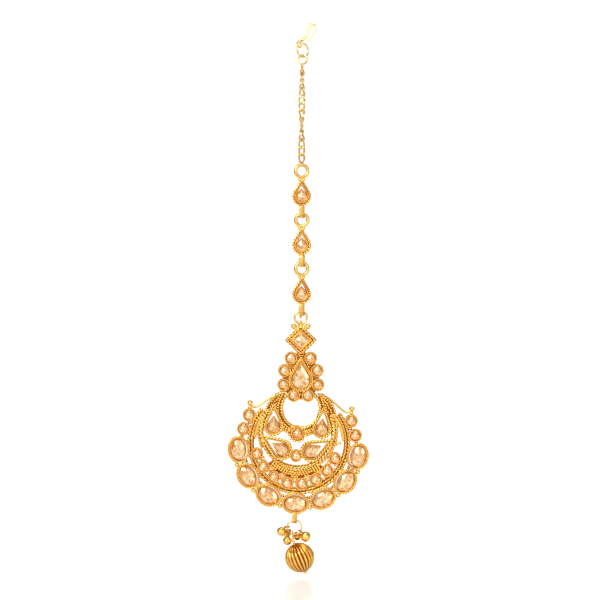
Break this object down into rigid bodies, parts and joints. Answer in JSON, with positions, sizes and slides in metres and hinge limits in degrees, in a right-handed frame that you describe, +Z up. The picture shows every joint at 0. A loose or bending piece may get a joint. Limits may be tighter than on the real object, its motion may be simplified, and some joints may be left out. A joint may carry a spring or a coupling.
{
  "type": "maang tikka",
  "caption": "Gold-tone maang tikka: hair hook, curb chain, teardrop links, and an openwork crescent pendant set with champagne stones, with a fluted bead drop.",
  "frame": {"origin": "the bend of the hair hook, where the hair holds the ornament", "axes": "+Z up along the hanging ornament, stones face -Y, +X to the right as seen from the front"},
  "size_m": [0.0416, 0.0086, 0.1655],
  "materials": {
    "gold": "antique gold plate, polished on the high parts and brown in the recesses",
    "pale_gold": "bright gold plate",
    "champagne_stone": "foil-backed champagne glass, faceted and polished"
  },
  "bodies": {
    "holder": {"hair_hook": "gold", "hook_ring": "gold", "jump_ring": "gold", "curb_chain": "gold", "teardrop_link_1": "gold", "teardrop_link_2": "gold", "teardrop_link_3": "gold", "link_stone_1": "champagne_stone", "link_stone_2": "champagne_stone", "link_stone_3": "champagne_stone"},
    "pendant": {"cluster_round_stone_left_1": "champagne_stone", "cluster_round_stone_left_2": "champagne_stone", "cluster_round_stone_left_3": "champagne_stone", "cluster_round_stone_left_4": "champagne_stone", "cluster_round_stone_right_1": "champagne_stone", "cluster_round_stone_right_2": "champagne_stone", "cluster_round_stone_right_3": "champagne_stone", "cluster_round_stone_right_4": "champagne_stone", "diamond_stone": "champagne_stone", "drop_ring": "gold", "ghungroo_1": "pale_gold", "ghungroo_2": "pale_gold", "ghungroo_3": "pale_gold", "ghungroo_4": "pale_gold", "ghungroo_5": "pale_gold", "head_pin": "gold", "lower_teardrop_stone_left": "champagne_stone", "lower_teardrop_stone_right": "champagne_stone", "melon_bead": "pale_gold", "middle_round_stone_1": "champagne_stone", "middle_round_stone_2": "champagne_stone", "oval_stone_1": "champagne_stone", "oval_stone_2": "champagne_stone", "oval_stone_3": "champagne_stone", "oval_stone_4": "champagne_stone", "oval_stone_5": "champagne_stone", "oval_stone_6": "champagne_stone", "oval_stone_7": "champagne_stone", "pear_stone": "champagne_stone", "pendant_frame": "gold", "row_round_stone_1": "champagne_stone", "row_round_stone_2": "champagne_stone", "row_round_stone_3": "champagne_stone", "row_round_stone_4": "champagne_stone", "row_round_stone_5": "champagne_stone", "row_round_stone_6": "champagne_stone", "row_round_stone_7": "champagne_stone", "row_round_stone_8": "champagne_stone", "side_round_stone_left_1": "champagne_stone", "side_round_stone_left_2": "champagne_stone", "side_round_stone_right_1": "champagne_stone", "side_round_stone_right_2": "champagne_stone", "upper_teardrop_stone_left": "champagne_stone", "upper_teardrop_stone_right": "champagne_stone"}
  },
  "joints": [
    {"name": "pendant_swing", "type": "hinge", "parent": "holder", "child": "pendant", "pos_m": [-0.00325, 0, -0.08596], "axis": [1, 0, 0], "range_deg": [-90, 90]}
  ]
}
